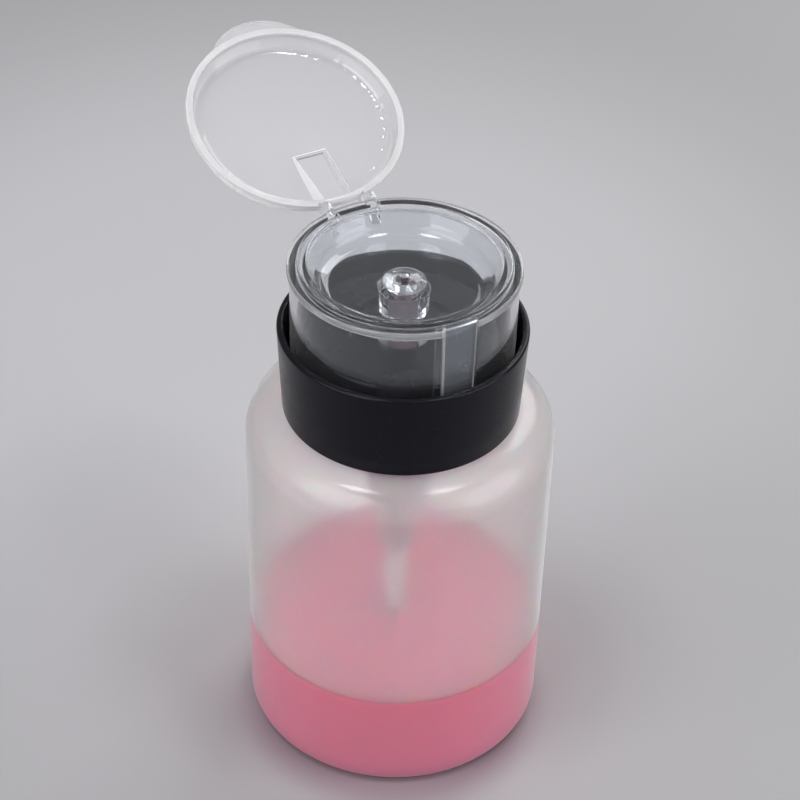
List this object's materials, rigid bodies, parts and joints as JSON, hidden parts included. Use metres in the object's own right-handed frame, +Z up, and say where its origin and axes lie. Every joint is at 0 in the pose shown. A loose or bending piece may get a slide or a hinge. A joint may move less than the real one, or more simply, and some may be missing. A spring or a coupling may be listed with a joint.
{
  "type": "push-down pump bottle",
  "caption": "Cylindrical squeeze-free bottle with a push-down dish pump, threaded collar and hinged flip lid, part filled with liquid.",
  "frame": {"origin": "on the bottle's axis, at the flat middle of the base that the bottle stands on", "axes": "+Z up along the bottle's axis, +Y towards the lid's hinge at the back, -Y towards the thumb recess at the front"},
  "size_m": [0.066, 0.1082, 0.136],
  "materials": {
    "frosted_plastic": "milky translucent blown plastic, softly glossy",
    "pink_remover": "clear pink liquid",
    "black_plastic": "smooth moulded, glossy",
    "clear_plastic": "clear moulded, glossy",
    "natural_plastic": "uncoloured translucent moulded, satin",
    "soft_rubber": "soft matte seal",
    "white_foam": "closed-cell foam, matte",
    "stainless_steel": "bright drawn wire and polished balls"
  },
  "bodies": {
    "bottle": {"bottle": "frosted_plastic", "remover_liquid": "pink_remover"},
    "pump_unit": {"pump_housing": "natural_plastic", "dip_tube": "natural_plastic", "spring_seat": "natural_plastic", "return_spring": "stainless_steel", "stem_guide": "black_plastic", "stem_wiper": "soft_rubber", "neck_gasket": "white_foam"},
    "closure": {"screw_closure": "black_plastic", "collar": "black_plastic"},
    "plunger": {"stem": "natural_plastic", "piston": "soft_rubber", "piston_retainer": "natural_plastic"},
    "head": {"press_head": "clear_plastic", "dispensing_nozzle": "clear_plastic"},
    "lid": {"lid": "clear_plastic"},
    "inlet_ball": {"inlet_ball": "stainless_steel"},
    "outlet_ball": {"outlet_ball": "stainless_steel"}
  },
  "joints": [
    {"name": "closure_lift", "type": "slide", "parent": "bottle", "child": "pump_unit", "axis": [0, 0, 1], "range_m": [0, 0.006]},
    {"name": "closure_turn", "type": "hinge", "parent": "pump_unit", "child": "closure", "pos_m": [0, 0, 0.0832], "axis": [0, 0, 1], "range_deg": [0, 540]},
    {"name": "pump_press", "type": "slide", "parent": "pump_unit", "child": "plunger", "axis": [0, 0, -1], "range_m": [0, 0.008], "stiffness_N_per_m": 450, "springref_m": -0.006, "deforming": ["return_spring"]},
    {"name": "head_turn", "type": "hinge", "parent": "plunger", "child": "head", "pos_m": [0, 0, 0.1125], "axis": [0, 0, 1], "continuous": true},
    {"name": "lid_hinge", "type": "hinge", "parent": "head", "child": "lid", "pos_m": [0, 0.0258, 0.11725], "axis": [1, 0, 0], "range_deg": [0, 157]},
    {"name": "inlet_ball_lift", "type": "slide", "parent": "pump_unit", "child": "inlet_ball", "axis": [0, 0, 1], "range_m": [0, 0.0012]},
    {"name": "outlet_ball_lift", "type": "slide", "parent": "plunger", "child": "outlet_ball", "axis": [0, 0, 1], "range_m": [0, 0.001]}
  ],
  "couplings": [
    {"joint": "closure_lift", "follows": "closure_turn", "m_per_rad": 0.00063662}
  ]
}
